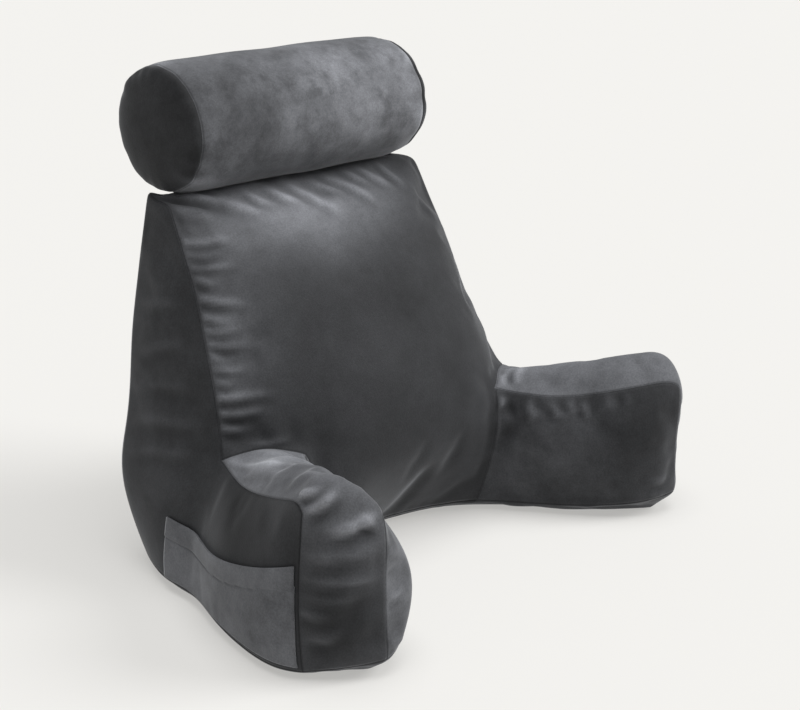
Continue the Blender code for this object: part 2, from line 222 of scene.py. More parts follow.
# Painted light and shade, each as a soft round patch on one panel: lighter where more light falls, such as on
# the tops of the front and the arms, and darker where less falls, such as under the roll
PAINTED_LIGHT_COLUMNS = ("panel", "centre", "reach", "gain")
PAINTED_LIGHT_PATCHES = (
    ("front", (-0.190, -0.045, 0.490), 0.065, 2.2),
    ("front", (-0.110, -0.040, 0.500), 0.060, 2.8),
    ("front", (-0.030, -0.050, 0.490), 0.080, 5.2),
    ("front", (0.060, -0.045, 0.500), 0.070, 2.8),
    ("front", (0.150, -0.040, 0.495), 0.060, 1.6),
    ("front", (-0.240, -0.100, 0.360), 0.075, 2.0),
    ("front", (-0.255, -0.120, 0.270), 0.060, 1.4),
    ("side", (-0.350, -0.255, 0.170), 0.100, -0.72),
    ("strip", (-0.280, -0.240, 0.210), 0.080, 1.8),
    ("strip", (-0.335, -0.400, 0.250), 0.055, 0.8),
    ("strip", (-0.355, -0.450, 0.085), 0.080, -0.80),
    ("strip", (0.250, -0.260, 0.210), 0.090, 0.9),
    ("strip", (0.350, -0.370, 0.228), 0.070, 0.9),
    ("inner", (-0.285, -0.440, 0.120), 0.070, 1.5),
    ("inner", (0.230, -0.290, 0.150), 0.080, 0.5),
    ("inner", (0.330, -0.415, 0.150), 0.070, -0.60),
    ("roll", (-0.170, -0.030, 0.660), 0.095, -0.48),
    ("roll", (-0.110, -0.010, 0.545), 0.060, -0.45),
    ("roll", (-0.020, -0.010, 0.545), 0.060, -0.45),
    ("roll", (0.070, -0.010, 0.545), 0.060, -0.40),
    ("roll", (0.150, -0.010, 0.545), 0.055, -0.30),
    ("roll", (0.040, -0.050, 0.640), 0.090, 0.40),
    ("roll", (0.150, -0.045, 0.640), 0.080, 0.70),
)

# The studio: sun-like soft lights, each named with the direction it comes from
FLOOR_COLOUR = (0.40, 0.396, 0.385, 1)
FLOOR_GLOW_COLOUR = (1.0, 0.988, 0.958, 1)
FLOOR_GLOW = 0.418
FLOOR_ROUGHNESS = 0.9
FLOOR_HALF_SIZE = 30.0
# Just under the pillow's flat base
FLOOR_Z = -0.0005
STUDIO_COLOUR = (1.0, 0.995, 0.98, 1)
STUDIO_BRIGHTNESS = 0.25
LIGHT_COLUMNS = ("name", "strength", "towards", "softness_degrees")
LIGHTS = (
    ("key", 2.1, (1.0, -1.0, 1.05), 30.0),
    ("overhead", 1.7, (0.0, -0.1, 1.0), 45.0),
)

# A fold's ridge wanders a little, and a hollow lies below it. Both are shares of the ridge's width, and
# the hollow's depth is a share of its height.
FOLD_WANDER = 0.3
FOLD_HOLLOW_AT = 1.7
FOLD_HOLLOW_WIDTH = 1.1
FOLD_HOLLOW = 0.65
# The angle in radians through which a fold wanders along its length, and what each metre of its length adds
FOLD_WANDER_TURN = 5.0
FOLD_WANDER_START = 40.0
# As shares of its length, where a fold has risen and where it begins to die away, by how it fades, and where
# it starts and is gone
FOLD_FADES = {"end": (0.12, 0.35), "both": (0.4, 0.6)}
FOLD_STARTS = -0.12
FOLD_GONE = 1.12
# Where a fold fades out beside its line, in its widths, and beside a seam, in metres
FOLD_REACH = (3.0, 5.0)
FOLD_SEAM_STRIP = 0.5 * SEAM_STRIP

# The neck roll lies on the backrest's crown
ROLL_RADIUS = 0.0925
ROLL_SEAM_RADIUS = 0.0865
ROLL_HALF_LENGTH = 0.2145
ROLL_END_BULGE = 0.026
ROLL_END_LEAN = 0.004
ROLL_END_FULLNESS = 0.8
ROLL_SHOULDER = 0.018
ROLL_CENTRE = Vector((-0.0055, 0.038, 0.6130))
ROLL_END_RINGS = 18
ROLL_WALL_ROWS = 96
ROLL_SEGMENTS = 144
ROLL_CLEARANCE = 0.0008
ROLL_LUMP = 0.0022
ROLL_LUMP_SIZE = 0.09
ROLL_LUMP_SEED = 3
# The gathers where the roll's ends are sewn in: their height, their size as a share of the roll's radius, and
# how far they run along the roll and in over its ends
ROLL_GATHER = 0.0055
ROLL_GATHER_SPACING = 0.22
ROLL_GATHER_REACH = 0.020
ROLL_END_GATHER_REACH = 0.008
ROLL_GATHER_SEED = 8
# The share of lumps and gathers left at the stitches, and how far from them they are whole again
ROLL_STITCHED_SHARE = 0.25
ROLL_STITCHED_REACH = 0.006
# How exactly a point has to lie on the ring of an end seam
ROLL_SEAM_TOLERANCE = 1e-5

# The pocket is a patch on the arm's outer side. Its ends are measured level along that side, and its top
# edge hangs below the straight line between its two top corners.
POCKET_REAR = 0.150
POCKET_FRONT = 0.478
POCKET_FOOT_Z = 0.018
POCKET_REAR_TOP_Z = 0.105
POCKET_FRONT_TOP_Z = 0.155
POCKET_SAG = 0.021
POCKET_THICKNESS = 0.0018
POCKET_OFFSET = 0.0012
# How far the mouth's middle stands out, and from which share of the pocket's height up
POCKET_MOUTH_OPEN = 0.003
POCKET_MOUTH_FROM = 0.5
POCKET_HEM = 0.028
POCKET_HEM_RISE = 0.0010
POCKET_STITCH_DEPTH = 0.0009
POCKET_STITCH_WIDTH = 0.0015
POCKET_COLUMNS = 110
POCKET_ROWS = 48
POCKET_RAY_START = 0.7
POCKET_ALONG = Vector((OUTER_FACING.y, -OUTER_FACING.x, 0.0))

# Folds and creases that the photograph shows, each a low ridge with a hollow below it. Their ends were picked
# as pixels of the photograph, and placed_folds finds them on the cover. A fold fades at the end that
# lies away from a seam, or at both ends.
FOLD_COLUMNS = ("panel", "start_pixel", "end_pixel", "width", "height", "fade")
FOLDS = (
    ("front", (172, 213), (216, 219), 0.0068, 0.0029, "end"),
    ("front", (180, 243), (233, 240), 0.0068, 0.0038, "end"),
    ("front", (182, 255), (226, 252), 0.0068, 0.0034, "end"),
    ("front", (193, 281), (219, 284), 0.0068, 0.0031, "end"),
    ("front", (196, 298), (252, 307), 0.0068, 0.0038, "end"),
    ("front", (200, 318), (236, 320), 0.0068, 0.0033, "end"),
    ("front", (203, 332), (244, 329), 0.0068, 0.0031, "end"),
    ("front", (207, 358), (232, 361), 0.0068, 0.0024, "end"),
    ("front", (211, 384), (236, 381), 0.0068, 0.0024, "end"),
    ("front", (215, 398), (278, 395), 0.0068, 0.0044, "end"),
    ("front", (217, 414), (268, 410), 0.0068, 0.0044, "end"),
    ("front", (219, 431), (252, 426), 0.0068, 0.0042, "end"),
    ("front", (246, 446), (292, 441), 0.007, 0.0034, "both"),
    ("front", (213, 195), (262, 217), 0.01, 0.003, "both"),
    ("front", (280, 181), (342, 217), 0.009, 0.003, "both"),
    ("front", (318, 173), (376, 205), 0.008, 0.003, "both"),
    ("front", (352, 168), (392, 190), 0.008, 0.003, "both"),
    ("front", (372, 163), (404, 188), 0.007, 0.0026, "both"),
    ("strip", (224, 462), (302, 463), 0.007, 0.003, "both"),
    ("strip", (303, 514), (339, 493), 0.007, 0.0065, "both"),
    ("strip", (326, 534), (380, 514), 0.008, 0.0065, "both"),
    ("strip", (300, 497), (322, 488), 0.006, 0.0052, "end"),
    ("strip", (357, 519), (381, 528), 0.006, 0.0039, "both"),
    ("strip", (299, 576), (382, 577), 0.007, 0.0034, "both"),
    ("strip", (299, 613), (340, 614), 0.007, 0.003, "end"),
    ("strip", (300, 551), (381, 553), 0.01, 0.0026, "both"),
    ("inner", (487, 450), (499, 402), 0.01, 0.004, "both"),
    ("inner", (492, 412), (506, 396), 0.007, 0.0044, "both"),
    ("strip", (498, 386), (514, 368), 0.008, 0.0044, "both"),
    ("strip", (513, 386), (524, 368), 0.008, 0.0036, "both"),
    ("inner", (646, 484), (668, 474), 0.007, 0.0026, "both"),
    ("inner", (648, 497), (666, 489), 0.007, 0.0022, "both"),
    ("inner", (385, 555), (398, 550), 0.006, 0.0024, "both"),
    ("inner", (385, 569), (399, 560), 0.006, 0.0026, "both"),
    ("inner", (386, 600), (402, 591), 0.006, 0.0026, "both"),
    ("inner", (385, 646), (402, 636), 0.006, 0.0024, "both"),
    ("side", (136, 386), (200, 387), 0.009, 0.0018, "both"),
    ("side", (130, 452), (205, 453), 0.009, 0.0018, "both"),
    ("front", (152, 196), (226, 204), 0.008, 0.006, "both"),
    ("front", (160, 205), (205, 212), 0.007, 0.003, "both"),
    ("front", (240, 192), (270, 205), 0.007, 0.003, "both"),
    ("front", (262, 188), (300, 205), 0.008, 0.003, "both"),
    ("front", (300, 178), (350, 196), 0.007, 0.0026, "both"),
    ("front", (338, 171), (372, 186), 0.007, 0.0026, "both"),
    ("front", (186, 268), (240, 268), 0.0055, 0.0031, "end"),
    ("front", (206, 345), (250, 345), 0.0055, 0.0031, "end"),
    ("front", (210, 371), (250, 369), 0.0055, 0.0031, "end"),
    ("inner", (600, 412), (599, 392), 0.007, 0.0019, "end"),
    ("strip", (232, 472), (290, 470), 0.008, 0.003, "both"),
    ("strip", (300, 640), (345, 632), 0.008, 0.003, "both"),
    ("strip", (302, 592), (380, 590), 0.008, 0.002, "both"),
    ("side", (140, 300), (185, 306), 0.009, 0.002, "both"),
    ("side", (133, 420), (200, 425), 0.009, 0.0022, "both"),
    ("side", (140, 350), (188, 345), 0.009, 0.002, "both"),
    ("inner", (507, 424), (503, 394), 0.009, 0.0031, "end"),
    ("inner", (519, 417), (517, 393), 0.006, 0.0026, "end"),
    ("inner", (531, 421), (529, 394), 0.008, 0.0032, "end"),
    ("inner", (546, 411), (544, 394), 0.006, 0.0022, "end"),
    ("inner", (556, 418), (553, 395), 0.007, 0.003, "end"),
    ("inner", (572, 413), (570, 394), 0.009, 0.0025, "end"),
    ("inner", (586, 419), (583, 393), 0.006, 0.0027, "end"),
    ("inner", (608, 409), (607, 391), 0.007, 0.0019, "end"),
    ("inner", (627, 406), (626, 390), 0.006, 0.0016, "end"),
)


def rows_of(columns, rows):
    return [dict(zip(columns, row)) for row in rows]


def camera_view():
    """The camera's place and turn."""
    back = Vector((
        math.sin(CAMERA_AZIMUTH) * math.cos(CAMERA_ELEVATION),
        -math.cos(CAMERA_AZIMUTH) * math.cos(CAMERA_ELEVATION),
        math.sin(CAMERA_ELEVATION),
    ))
    return CAMERA_TARGET + CAMERA_DISTANCE * back, back.to_track_quat("Z", "Y")


def level_direction_out(start, end):
    """The level direction square to the line from start to end, on its right."""
    along = Vector((end.x - start.x, end.y - start.y, 0.0)).normalized()
    return Vector((along.y, -along.x, 0.0))


def splayed(point, side, share):
    """The point moved with the arm on one side. The share is 0 at the arm's root and 1 at its tip."""
    row = dict(zip(SIDE_COLUMNS, SIDES[side]))
    reach = Matrix.Diagonal((1 + (row["reach"] - 1) * share, 1 + (row["reach"] - 1) * share, 1.0))
    return ARM_ROOT + Matrix.Rotation(row["tip_swing"] * share, 3, "Z") @ reach @ (point - ARM_ROOT)


def add_backrest_points(points, side):
    """One ring of points for each backrest section, from the arms' height up."""
    shares = dict(zip(SIDE_COLUMNS, SIDES[side]))
    for level, row in enumerate(rows_of(BACK_COLUMNS, BACK_ROWS)):
        row["half_width"] *= 1 + (shares["waist"] - 1) * math.sin(math.pi * min(level / WAIST_LEVELS, 1.0))
        crown = row["centre_y"] - row["seam_y"]
        for column, fraction in PANEL_FRACTIONS.items():
            x = fraction * row["half_width"]
            front_y = row["seam_y"] + crown * (1 - fraction**FRONT_CROWN_POWER)
            rear_y = row["rear_y"] + REAR_CROWN * (1 - fraction**2)
            points[level, "f" + column] = Vector((x, front_y, row["z"]))
            points[level, "b" + column] = Vector((x, rear_y, row["z"]))
        side_x = row["half_width"] + row["side_crown"]
        side_y = (row["seam_y"] + row["rear_y"]) / 2
        points[level, "side_seam"] = Vector((row["half_width"], row["seam_y"], row["z"]))
        points[level, "side_mid"] = Vector((side_x, side_y, row["z"]))
        points[level, "corner"] = Vector((row["half_width"], row["rear_y"], row["z"]))
    points[TOP, "corner"] += shares["ear"] * EAR_RISE
    points[TOP, "side_mid"].z += shares["ear"] * EAR_MID_RISE
    for column, fraction in PANEL_FRACTIONS.items():
        across = Vector((fraction * points[TOP, "side_seam"].x, 0.0, 0.0))
        points[TOP, "c" + column] = SEAT_OF_ROLL + across


def add_backrest_foot(points):
    """The backrest's walls below the arms' top seams, down to the flat base."""
    for number, foot in enumerate(rows_of(FOOT_COLUMNS, FOOT_ROWS)):
        level = -1 - number
        for name, share in (("f0", 0.0), ("f1", 0.5), ("f2", 1.0)):
            y = foot["front_y"] + (foot["joint_y"] - foot["front_y"]) * share**2
            points[level, name] = Vector((share * foot["joint_x"], y, foot["z"]))
        points[level, "side_mid"] = Vector((foot["side_x"], foot["side_y"], foot["z"]))
        points[level, "corner"] = Vector((foot["corner_x"], foot["corner_y"], foot["z"]))
        for column, fraction in PANEL_FRACTIONS.items():
            y = foot["rear_y"] + (foot["corner_y"] - foot["rear_y"]) * fraction**2
            points[level, "b" + column] = Vector((fraction * foot["corner_x"], y, foot["z"]))


def add_arm_points(points, side):
    """The arm, from the line where it leaves the front panel to its tip, and down to the flat base."""
    shares = dict(zip(SIDE_COLUMNS, SIDES[side]))
    for station, row in enumerate(rows_of(ARM_COLUMNS, ARM_ROWS)):
        share = station / (len(ARM_ROWS) - 1)
        scale = 1 + (shares["tip_height"] - 1) * share
        lift = 1 + (shares["tip_lift"] - 1) * share
        inner = Vector((row["inner_x"], row["inner_y"], row["inner_z"] * scale))
        outer = Vector((row["outer_x"], row["outer_y"], row["outer_z"] * scale))
        middle = (inner + outer) / 2
        middle.z = row["crown_z"] * scale
        made = {(0, INNER_LINE): inner, (0, CROWN_LINE): middle, (0, OUTER_LINE): outer}
        rings = (
            (-1, "mid", 0.0, 0.0, MID_HEIGHT, MID_HEIGHT),
            (-2, "foot", 0.0, 0.0, row["inner_foot_z"] * lift, row["outer_foot_z"] * lift),
            (-3, "foot", row["under"], BASE_INSET, 0.0, 0.0),
        )
        for level, name, under, inset, inner_z, outer_z in rings:
            bulge = shares["bulge"] * row["inner_" + name]
            made[level, INNER_LINE] = inner + (bulge - under) * INNER_FACING
            made[level, OUTER_LINE] = outer + (row["outer_" + name] - inset) * OUTER_FACING
            made[level, INNER_LINE].z = inner_z
            made[level, OUTER_LINE].z = outer_z
        for (level, line), point in made.items():
            if station > 0 or line is not INNER_LINE or level == 0:
                points[level, line[station]] = splayed(point, side, share)
    outward = level_direction_out(points[0, "tip_in"], points[0, "tip_out"])
    for level, out in ((0, TIP_TOP_OUT), (-1, TIP_MID_OUT), (-2, TIP_FOOT_OUT), (-3, 0.0)):
        middle = (points[level, "tip_in"] + points[level, "tip_out"]) / 2
        middle.z = points[0, "tip_mid"].z if level == 0 else middle.z
        points[level, "tip_mid"] = middle + out * outward
    for names, inset in zip((("tip_in", "tip_mid", "tip_out"), ("i3", "o3")), TIP_BASE_INSETS):
        for name in names:
            points[BASE, name] -= inset * outward


def add_base_points(points):
    """The middle lines of the base, which is flat on the floor."""
    for inner, middle, outer in zip(INNER_LINE[:-1], CROWN_LINE, OUTER_LINE):
        points[BASE, middle] = (points[BASE, inner] + points[BASE, outer]) / 2
    for front, middle, rear in zip(FRONT_LINE[:-1], MIDDLE_LINE, REAR_LINE):
        points[BASE, middle] = (points[BASE, front] + points[BASE, rear]) / 2


def half_points(side):
    """The cage's points on one side, by level and name."""
    points = {}
    add_backrest_points(points, side)
    add_backrest_foot(points)
    add_arm_points(points, side)
    add_base_points(points)
    return points


def at(level, names):
    return [(level, name) for name in names]


def strip(first, second):
    """Quads between two rows of keys."""
    return list(zip(first, first[1:], second[1:], second))


def half_quads():
    quads = []
    for level in range(TOP):
        quads += strip(at(level, AROUND_BACK), at(level + 1, AROUND_BACK))
    for level in range(BASE, 0):
        quads += strip(at(level, AROUND_FOOT), at(level + 1, AROUND_FOOT))
    for first, second in ((FRONT_LINE, MIDDLE_LINE), (MIDDLE_LINE, REAR_LINE)):
        quads += strip(at(TOP, first), at(TOP, second))
        quads += strip(at(BASE, second), at(BASE, first))
    for first, second in ((INNER_LINE, CROWN_LINE), (CROWN_LINE, OUTER_LINE)):
        quads += strip(at(0, first), at(0, second))
        quads += strip(at(BASE, second), at(BASE, first))
    return quads


def half_seams():
    """The sewn edges of the cover, each as a line of keys."""
    up = range(TOP + 1)
    down = range(0, BASE, -1)
    return [
        [(level, "side_seam") for level in up],
        [(level, "corner") for level in range(TOP, BASE, -1)],
        at(TOP, ("side_seam", "side_mid", "corner")),
        at(TOP, REAR_LINE),
        [(level, "f2") for level in down],
        at(0, ("f2", "f3", "side_seam")),
        at(0, INNER_LINE) + [(level, "tip_in") for level in down[1:]],
        at(0, OUTER_LINE) + [(level, "tip_out") for level in down[1:]],
        at(BASE + 1, AROUND_FOOT),
    ]


def sided(key, side):
    """The key of a point on one side. Points on the middle plane are shared."""
    return ("middle" if key[1] in ON_THE_MIDDLE else side,) + key


def body_cage():
    """The cage's points, quads and creased lines for both sides."""
    points = {}
    quads = []
    creases = []
    for side, sign in SIGNS.items():
        for key, point in half_points(side).items():
            points[sided(key, side)] = Vector((sign * point.x, point.y, point.z))
        for quad in half_quads():
            quads.append([sided(key, side) for key in quad[::sign]])
        for line in half_seams():
            creases.append(([sided(key, side) for key in line], SEAM_CREASE))
        creases.append(([sided(key, side) for key in at(BASE, AROUND_FOOT)], BASE_CREASE))
    return points, quads, creases


def creased_mesh(name, points, quads, creases):
    order = {key: number for number, key in enumerate(points)}
    mesh = bpy.data.meshes.new(name)
    mesh.from_pydata(list(points.values()), [], [[order[key] for key in quad] for quad in quads])
    sharpness = mesh.attributes.new("crease_edge", "FLOAT", "EDGE")
    numbers = {frozenset(edge.vertices): edge.index for edge in mesh.edges}
    for line, amount in creases:
        for start, end in zip(line, line[1:]):
            sharpness.data[numbers[frozenset((order[start], order[end]))]].value = amount
    return mesh


def fit_to_points(obj):
    """Moves the cage, never below the floor, until the smooth surface runs through the tables' points."""
    targets = [vertex.co.copy() for vertex in obj.data.vertices]
    for _ in range(FITTING_ROUNDS):
        bpy.context.view_layer.update()
        smooth = obj.evaluated_get(bpy.context.evaluated_depsgraph_get()).data
        reached = [smooth.vertices[number].co.copy() for number in range(len(targets))]
        for vertex, target, now in zip(obj.data.vertices, targets, reached):
            step = target - now
            if target.z == 0.0:
                step.z = 0.0
            vertex.co += step
            vertex.co.z = max(vertex.co.z, 0.0)
        obj.data.update()


def half_panels():
    """The panel of the cover that each quad of half_quads lies on, in the same order."""
    panels = (["front"] * 4 + ["side"] * 2 + ["rear"] * 4) * TOP
    panels += (["front"] * 2 + ["inner"] * 4 + ["strip"] * 2 + ["side"] * 6 + ["rear"] * 4) * -BASE
    panels += (["front"] * 4 + ["base"] * 4) * 2
    panels += (["strip"] * 4 + ["base"] * 4) * 2
    return panels


def values_of(owner, name, count, kind, length=1):
    """One property of every member of a mesh collection, as an array."""
    found = np.zeros(count * length, kind)
    owner.foreach_get(name, found)
    return found.reshape(count, length) if length > 1 else found


def places_of(mesh):
    return values_of(mesh.vertices, "co", len(mesh.vertices), np.float64, 3)


def normals_of(mesh):
    return values_of(mesh.vertex_normals, "vector", len(mesh.vertices), np.float64, 3)


def put_places(mesh, places):
    mesh.vertices.foreach_set("co", places.ravel())
    mesh.update()


def keep(mesh, name, domain, values):
    mesh.attributes.new(name, "FLOAT", domain).data.foreach_set("value", np.asarray(values, np.float32))


def applied(obj):
    """Replaces the object's mesh by the one that its modifiers give."""
    bpy.context.view_layer.update()
    made = bpy.data.meshes.new_from_object(obj.evaluated_get(bpy.context.evaluated_depsgraph_get()))
    obj.modifiers.clear()
    obj.data = made


def divided(obj, levels):
    smooth = obj.modifiers.new("divided", "SUBSURF")
    smooth.levels = levels
    applied(obj)


def new_piece(name, mesh, material):
    mesh.shade_smooth()
    mesh.materials.clear()
    mesh.materials.append(material)
    obj = bpy.data.objects.new(name, mesh)
    bpy.context.scene.collection.objects.link(obj)
    return obj


def ease(values, start, end):
    """0 at the start and 1 at the end, with a smooth change between them."""
    share = np.clip((values - start) / (end - start), 0.0, 1.0)
    return share * share * (3 - 2 * share)


def cloudy(places, size, seed):
    """Smooth noise from -1 to 1 with lumps of that size in metres."""
    offset = Vector([seed * step for step in SEED_STEPS])
    return np.array([noise.noise(Vector(place) / size + offset) for place in places])


def smoothed(field, edges, rounds):
    """The field over the vertices, averaged with its neighbours as many times as rounds says."""
    count = len(field)
    ends = np.concatenate([edges[:, 0], edges[:, 1]])
    others = np.concatenate([edges[:, 1], edges[:, 0]])
    degree = np.bincount(ends, minlength=count)[:, None]
    for _ in range(rounds):
        total = np.stack([np.bincount(ends, field[others, axis], count) for axis in range(field.shape[1])], 1)
        field = 0.5 * field + 0.5 * total / degree
    return field


def seam_edges(mesh):
    """Every edge as a pair of vertices, and which of them are sewn."""
    edges = values_of(mesh.edges, "vertices", len(mesh.edges), np.int64, 2)
    return edges, values_of(mesh.edges, "use_seam", len(mesh.edges), bool)


def seam_tree(mesh):
    """A search tree of places along the seams."""
    edges, sewn = seam_edges(mesh)
    places = places_of(mesh)
    starts, ends = places[edges[sewn][:, 0]], places[edges[sewn][:, 1]]
    along = np.concatenate([starts + (ends - starts) * share for share in (0.0, 0.25, 0.5, 0.75)])
    tree = KDTree(len(along))
    for number, place in enumerate(along):
        tree.insert(place, number)
    tree.balance()
    return tree


def seam_distance(mesh, tree):
    return np.array([tree.find(vertex.co)[2] for vertex in mesh.vertices])


def vertices_of(mesh, chosen):
    """Which vertices the chosen faces have."""
    corners = values_of(mesh.loops, "vertex_index", len(mesh.loops), np.int64)
    sizes = values_of(mesh.polygons, "loop_total", len(mesh.polygons), np.int64)
    found = np.zeros(len(mesh.vertices), bool)
    found[corners[np.repeat(chosen, sizes)]] = True
    return found


def panel_codes(mesh):
    """Where in PANELS the panel of each face is."""
    return values_of(mesh.attributes["panel"].data, "value", len(mesh.polygons), np.int64)


def panel_vertices(mesh):
    """For each panel, which vertices lie on it."""
    codes = panel_codes(mesh)
    return {name: vertices_of(mesh, codes == code) for code, name in enumerate(PANELS)}


def add_cloth(obj):
    """Cloth that is sewn shorter along its seams than it was cut, blown up a little."""
    cloth = obj.modifiers.new("puckers", "CLOTH")
    settings = cloth.settings
    settings.quality = CLOTH_QUALITY
    settings.mass = CLOTH_MASS
    settings.tension_stiffness = CLOTH_TENSION
    settings.compression_stiffness = CLOTH_TENSION
    settings.shear_stiffness = CLOTH_SHEAR
    settings.bending_stiffness = CLOTH_BENDING
    settings.use_pressure = True
    settings.uniform_pressure_force = CLOTH_PRESSURE
    settings.vertex_group_mass = "held"
    settings.vertex_group_shrink = "sewn"
    settings.shrink_min = CLOTH_EXCESS
    settings.shrink_max = SEAM_SHRINK
    settings.effector_weights.gravity = 0.0
    cloth.collision_settings.use_collision = False
    cloth.point_cache.frame_start = 1
    cloth.point_cache.frame_end = CLOTH_FRAMES


def puckered(obj):
    """Simulates the cloth and keeps only its small puckers, so the piece stays the size that it was."""
    mesh = obj.data
    edges, sewn = seam_edges(mesh)
    before = places_of(mesh)
    outward = normals_of(mesh)
    groups = {"sewn": np.unique(edges[sewn]), "held": np.flatnonzero(before[:, 2] < ON_FLOOR)}
    for name, members in groups.items():
        obj.vertex_groups.new(name=name).add(members.tolist(), 1.0, "REPLACE")
    add_cloth(obj)
    scene = bpy.context.scene
    scene.frame_start = 1
    scene.frame_end = CLOTH_FRAMES
    for number in range(1, CLOTH_FRAMES + 1):
        scene.frame_set(number)
    applied(obj)
    scene.frame_set(1)
    moved = places_of(obj.data) - before
    moved -= smoothed(moved, edges, PUCKER_SMOOTHING)
    height = (moved * outward).sum(axis=1)
    height = PUCKER_CAP * np.tanh(height / PUCKER_CAP)
    height *= ease(seam_distance(mesh, seam_tree(mesh)), 0.0, SEAM_STRIP)
    height[before[:, 2] < ON_FLOOR] = 0.0
    height[panel_vertices(mesh)["side"]] *= SIDE_PUCKER_SHARE
    put_places(obj.data, before + outward * height[:, None])
    keep(obj.data, "crest", "POINT", height)
    obj.vertex_groups.clear()


def seen_place(pixel, cover):
    """The place on the cover that a pixel of the photograph shows, to the millimetre."""
    start, turn = camera_view()
    depth = PHOTO_WIDTH * CAMERA_LENS / SENSOR_WIDTH
    sight = Vector((pixel[0] - PHOTO_WIDTH / 2, PHOTO_HEIGHT / 2 - pixel[1], -depth))
    reached = cover.ray_cast(start, turn @ sight.normalized())[0]
    return np.array([round(number, 3) for number in reached])


def placed_folds(cover):
    """The folds of the table, each with the places on the cover where it starts and ends."""
    folds = rows_of(FOLD_COLUMNS, FOLDS)
    for fold in folds:
        fold["start"] = seen_place(fold["start_pixel"], cover)
        fold["end"] = seen_place(fold["end_pixel"], cover)
    return folds


def fold_height(places, outward, fold):
    """How far one fold lifts each place."""
    start, end, width = fold["start"], fold["end"], fold["width"]
    length = np.linalg.norm(end - start)
    along = (end - start) / length
    middle = np.argmin(np.linalg.norm(places - (start + end) / 2, axis=1))
    across = np.cross(along, outward[middle])
    across *= -1.0 if across[2] > 0 else 1.0
    share = (places - start) @ along / length
    offset = places - start - np.clip(share, 0, 1)[:, None] * (end - start)
    wander = np.sin(FOLD_WANDER_TURN * share + FOLD_WANDER_START * length)
    side = offset @ across + width * FOLD_WANDER * wander
    ridge = np.exp(-((side / width) ** 2))
    hollow = np.exp(-(((side / width - FOLD_HOLLOW_AT) / FOLD_HOLLOW_WIDTH) ** 2))
    risen, dying = FOLD_FADES[fold["fade"]]
    lasting = ease(share, FOLD_STARTS, risen)
    lasting *= 1 - ease(share, dying, FOLD_GONE)
    near = 1 - ease(np.linalg.norm(offset, axis=1), FOLD_REACH[0] * width, FOLD_REACH[1] * width)
    return fold["height"] * (ridge - FOLD_HOLLOW * hollow) * lasting * near


def folded(mesh, folds):
    """Lays the folds on their own panels, clear of the seams."""
    places, outward = places_of(mesh), normals_of(mesh)
    on_panel = panel_vertices(mesh)
    clear = ease(seam_distance(mesh, seam_tree(mesh)), 0.0, FOLD_SEAM_STRIP)
    height = np.zeros(len(places))
    for fold in folds:
        height += fold_height(places, outward, fold) * on_panel[fold["panel"]]
    height *= clear
    put_places(mesh, places + outward * height[:, None])
    if "crest" in mesh.attributes:
        puckers = values_of(mesh.attributes["crest"].data, "value", len(height), np.float32)
        height += PUCKER_CREST_SHARE * puckers
        mesh.attributes.remove(mesh.attributes["crest"])
    # Kept as the crest, which paint turns into a painted highlight on ridges and painted shade in hollows
    keep(mesh, "crest", "POINT", height)


def pressed_by_roll(mesh):
    """The neck roll's weight presses a shallow trough into the backrest's top."""
    places = places_of(mesh)
    across = places[:, 1:] - np.array(ROLL_CENTRE)[1:]
    reach = np.linalg.norm(across, axis=1)
    under = (reach < ROLL_RADIUS + ROLL_CLEARANCE) & (np.abs(places[:, 0] - ROLL_CENTRE.x) < ROLL_HALF_LENGTH)
    scale = np.where(under, (ROLL_RADIUS + ROLL_CLEARANCE) / np.maximum(reach, SMALLEST_REACH), 1.0)
    places[:, 1:] = np.array(ROLL_CENTRE)[1:] + across * scale[:, None]
    put_places(mesh, places)


def kept_on_floor(mesh):
    places = places_of(mesh)
    places[:, 2] = np.maximum(places[:, 2], 0.0)
    put_places(mesh, places)


def grooved(obj):
    """Sews the seams in: a narrow groove runs along each one."""
    tree = seam_tree(obj.data)
    shape = bmesh.new()
    shape.from_mesh(obj.data)
    sewn = [edge for edge in shape.edges if edge.seam]
    made = bmesh.ops.bevel(
        shape, geom=sewn, offset=SEAM_GROOVE_WIDTH, offset_type="OFFSET", segments=2, profile=0.5,
        affect="EDGES", clamp_overlap=True,
    )
    shape.normal_update()
    for corner in made["verts"]:
        if tree.find(corner.co)[2] < STITCH_REACH:
            corner.co -= SEAM_GROOVE_DEPTH * corner.normal
    shape.to_mesh(obj.data)
    shape.free()


def body_mesh():
    """The cage as a mesh, with its seams marked and the panel of each face."""
    points, quads, creases = body_cage()
    mesh = creased_mesh("body_cover", points, quads, creases)
    for edge, sharpness in zip(mesh.edges, mesh.attributes["crease_edge"].data):
        edge.use_seam = 0.0 < sharpness.value < BASE_CREASE
    panel = mesh.attributes.new("panel", "INT", "FACE")
    for number, name in enumerate(half_panels() * 2):
        panel.data[number].value = PANELS.index(name)
    return mesh


def build_body(material):
    obj = new_piece("body_cover", body_mesh(), material)
    smooth = obj.modifiers.new("soft_form", "SUBSURF")
    smooth.levels = FITTED_DIVISIONS
    fit_to_points(obj)
    smooth.levels = BODY_DIVISIONS
    bpy.context.view_layer.update()
    folds = placed_folds(BVHTree.FromObject(obj, bpy.context.evaluated_depsgraph_get()))
    smooth.levels = SIMULATED_DIVISIONS
    applied(obj)
    puckered(obj)
    divided(obj, BODY_DIVISIONS - SIMULATED_DIVISIONS)
    folded(obj.data, folds)
    pressed_by_roll(obj.data)
    kept_on_floor(obj.data)
    grooved(obj)
    paint(obj.data, [PANELS[code] for code in panel_codes(obj.data)])
    return obj


